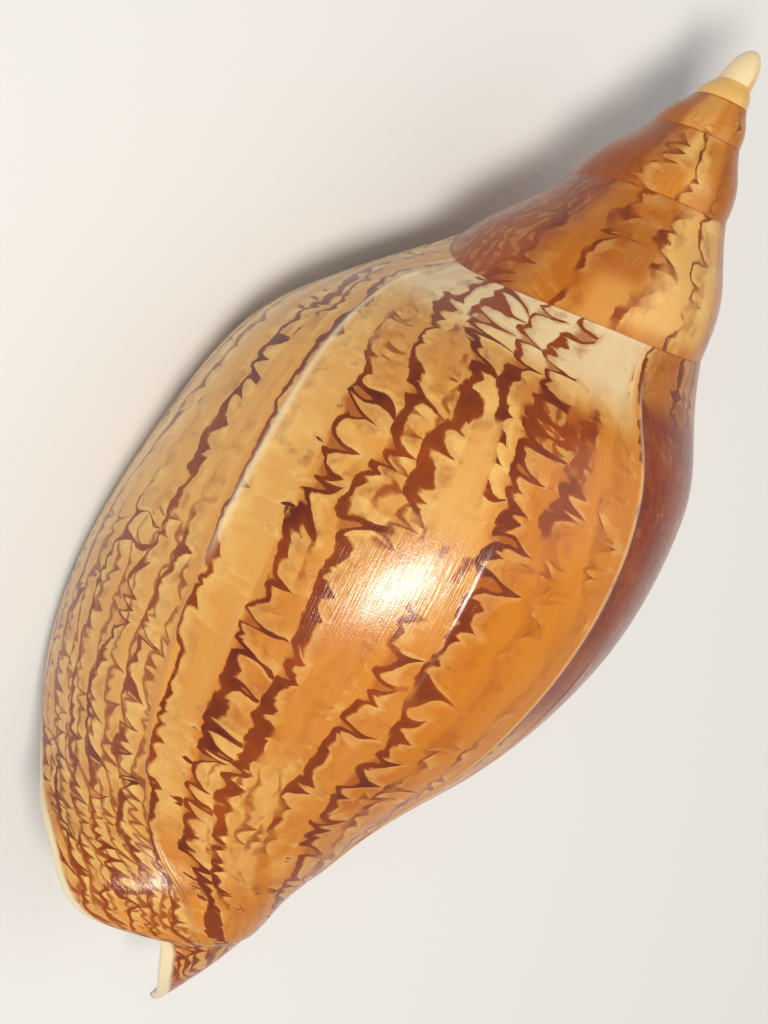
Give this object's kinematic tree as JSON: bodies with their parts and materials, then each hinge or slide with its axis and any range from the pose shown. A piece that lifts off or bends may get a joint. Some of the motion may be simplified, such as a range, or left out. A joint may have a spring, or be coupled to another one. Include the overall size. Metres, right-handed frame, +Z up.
{
  "type": "sea shell",
  "caption": "Large spindle-shaped volute sea shell lying on its mouth, with a rounded pale apex, swollen last whorl, wide mouth, siphonal notch and zigzag-marked glossy surface.",
  "frame": {"origin": "centre of the bounding box, at the level of the surface the shell lies on", "axes": "+Y towards the spire's tip, +Z up, mouth facing down, outer lip on the -X side"},
  "size_m": [0.081, 0.1904, 0.0687],
  "materials": {
    "shell": "glossy"
  },
  "bodies": {
    "root": {"shell": "shell"}
  },
  "joints": []
}
